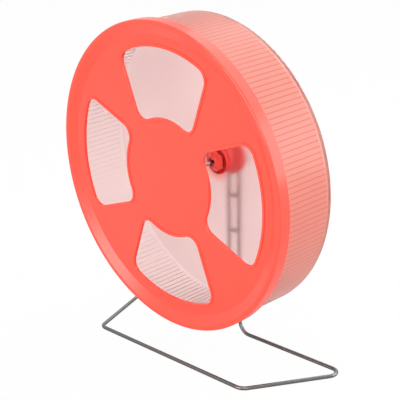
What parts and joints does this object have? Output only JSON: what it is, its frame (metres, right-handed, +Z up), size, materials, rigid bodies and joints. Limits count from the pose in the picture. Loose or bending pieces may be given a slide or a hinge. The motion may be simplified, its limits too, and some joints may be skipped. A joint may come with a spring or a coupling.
{
  "type": "rodent exercise wheel",
  "caption": "Exercise wheel for small rodents: a frosted running drum behind a windowed cover, turning on an axle that is clamped to a bent wire stand.",
  "frame": {"origin": "on the floor, midway between the two uprights and in their plane", "axes": "+X to the right as seen from the open front of the wheel, +Y to the back, +Z up"},
  "size_m": [0.2794, 0.1178, 0.3088],
  "materials": {
    "cover_plastic": "gloss",
    "drum_plastic": "frosted, translucent",
    "hub_plastic": "gloss",
    "bearing_plastic": "matte",
    "stand_steel": "satin zinc plated",
    "axle_steel": "satin zinc plated"
  },
  "bodies": {
    "stand": {"stand_wire": "stand_steel", "rung_1": "stand_steel", "rung_2": "stand_steel", "rung_3": "stand_steel", "rung_4": "stand_steel", "rung_5": "stand_steel", "axle_holder": "hub_plastic", "holder_nut": "axle_steel", "axle_rod": "axle_steel", "axle_clip": "axle_steel", "thrust_washer": "axle_steel"},
    "clamp": {"clamp_collar": "axle_steel", "nut_washer": "axle_steel"},
    "wing_nut": {"wing_nut": "axle_steel"},
    "wheel": {"front_cover": "cover_plastic", "running_drum": "drum_plastic", "hub_flange": "hub_plastic", "hub_nose": "hub_plastic", "rear_bearing": "bearing_plastic", "front_bearing": "bearing_plastic"}
  },
  "joints": [
    {"name": "wheel_spin", "type": "hinge", "parent": "stand", "child": "wheel", "pos_m": [0, 0, 0.17545], "axis": [0, 0.9962, 0.0872], "continuous": true},
    {"name": "clamp_release", "type": "slide", "parent": "stand", "child": "clamp", "axis": [0, 0.9962, 0.0872], "range_m": [0, 0.0036]},
    {"name": "wing_nut_turn", "type": "hinge", "parent": "clamp", "child": "wing_nut", "pos_m": [0, 0, 0.17545], "axis": [0, 0.9962, 0.0872], "range_deg": [0, 1800]}
  ],
  "couplings": [
    {"joint": "clamp_release", "follows": "wing_nut_turn", "m_per_rad": 0.00011141}
  ]
}
